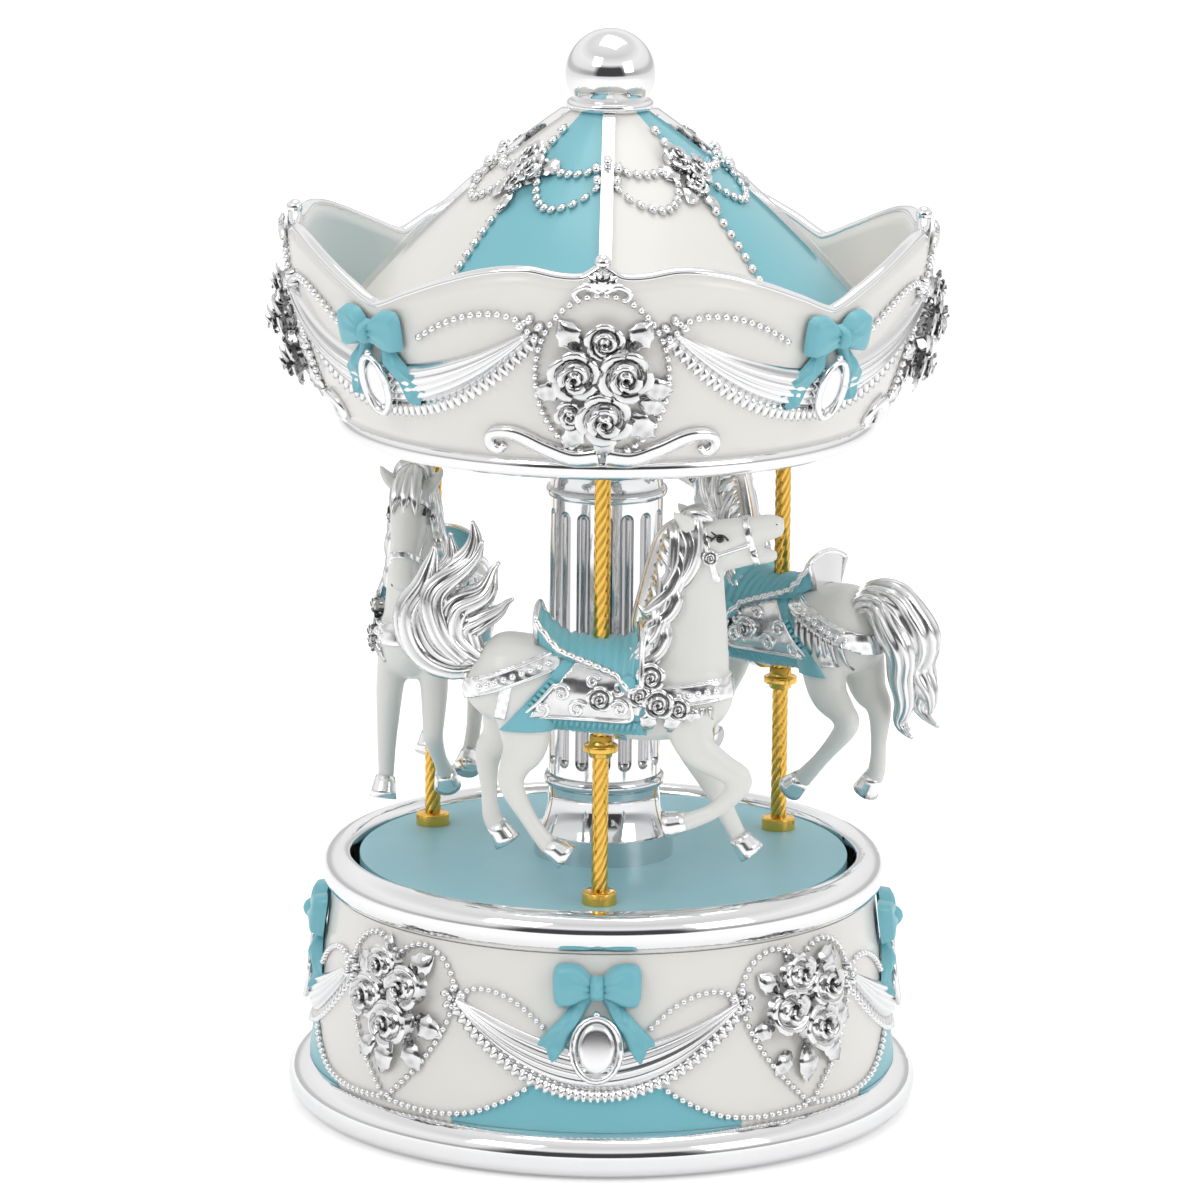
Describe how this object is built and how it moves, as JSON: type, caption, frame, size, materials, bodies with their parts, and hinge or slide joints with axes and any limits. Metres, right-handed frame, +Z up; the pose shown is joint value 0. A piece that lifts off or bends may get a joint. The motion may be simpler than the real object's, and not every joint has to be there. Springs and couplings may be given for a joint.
{
  "type": "carousel music box",
  "caption": "Wind-up carousel music box: horses on twisted poles turn with the fluted column, ornate crown and domed roof over a round base that holds the pinned-cylinder movement.",
  "frame": {"origin": "on the table, under the middle of the base", "axes": "+Z up along the turning axis, front towards -Y, +X to the viewer's right"},
  "size_m": [0.1053, 0.1044, 0.1728],
  "materials": {
    "pearl": "pearl white lacquer on cast resin",
    "teal": "pale teal lacquer on cast resin",
    "silver": "bright silver plating, darker in the hollows",
    "gold": "polished gold",
    "steel": "plain steel",
    "spring_steel": "blued spring steel",
    "movement_brass": "turned brass",
    "bed_zinc": "plain cast zinc alloy, left grey",
    "underside": "matt black moulding"
  },
  "bodies": {
    "base": {"foot_ring": "silver", "base_drum": "pearl", "top_ring": "silver", "base_bows": "teal", "base_cameos": "silver", "base_swags": "silver", "base_hearts": "silver", "bottom_plate": "underside", "plate_screws": "steel", "movement_bedplate": "bed_zinc", "movement_screws": "steel", "comb": "steel", "comb_screws": "steel", "cylinder_brackets": "bed_zinc", "governor_bracket": "steel"},
    "carousel": {"spring_barrel": "movement_brass", "mainspring": "spring_steel", "drive_hub": "movement_brass", "platform": "teal", "column_base": "silver", "column_shaft": "silver", "column_capital": "silver", "tie_rod": "steel", "tie_nut": "steel", "pole_1": "gold", "pole_2": "gold", "pole_3": "gold", "pole_collars": "gold", "canopy_floor": "pearl", "canopy_ring": "silver", "crown": "pearl", "crown_bows": "teal", "crown_cameos": "silver", "crown_swags": "silver", "crown_medallions": "silver", "crown_tips": "silver", "roof": "pearl", "roof_ribs": "silver", "roof_roses": "silver", "finial_collar": "silver", "finial_ball": "silver", "horse_1": "pearl", "saddle_1": "teal", "mane_1": "silver", "tail_1": "silver", "horse_2": "pearl", "saddle_2": "teal", "mane_2": "silver", "tail_2": "silver", "horse_3": "pearl", "saddle_3": "teal", "mane_3": "silver", "tail_3": "silver"},
    "key": {"winding_key": "steel", "winding_arbor": "steel"},
    "cylinder": {"pin_cylinder": "movement_brass", "cylinder_pinion": "steel", "governor_wheel": "movement_brass"},
    "governor": {"governor_worm": "steel"}
  },
  "joints": [
    {"name": "carousel_spin", "type": "hinge", "parent": "base", "child": "carousel", "pos_m": [0, 0, 0], "axis": [0, 0, 1], "continuous": true},
    {"name": "key_turn", "type": "hinge", "parent": "base", "child": "key", "pos_m": [0, 0, 0], "axis": [0, 0, 1], "continuous": true},
    {"name": "cylinder_spin", "type": "hinge", "parent": "base", "child": "cylinder", "pos_m": [0, 0, 0.02587], "axis": [1, 0, 0], "continuous": true},
    {"name": "governor_spin", "type": "hinge", "parent": "base", "child": "governor", "pos_m": [0.0341, -0.0072, 0], "axis": [0, 0, 1], "continuous": true}
  ],
  "couplings": [
    {"joint": "cylinder_spin", "follows": "carousel_spin", "ratio": 2.5714},
    {"joint": "governor_spin", "follows": "carousel_spin", "ratio": 46.286}
  ]
}
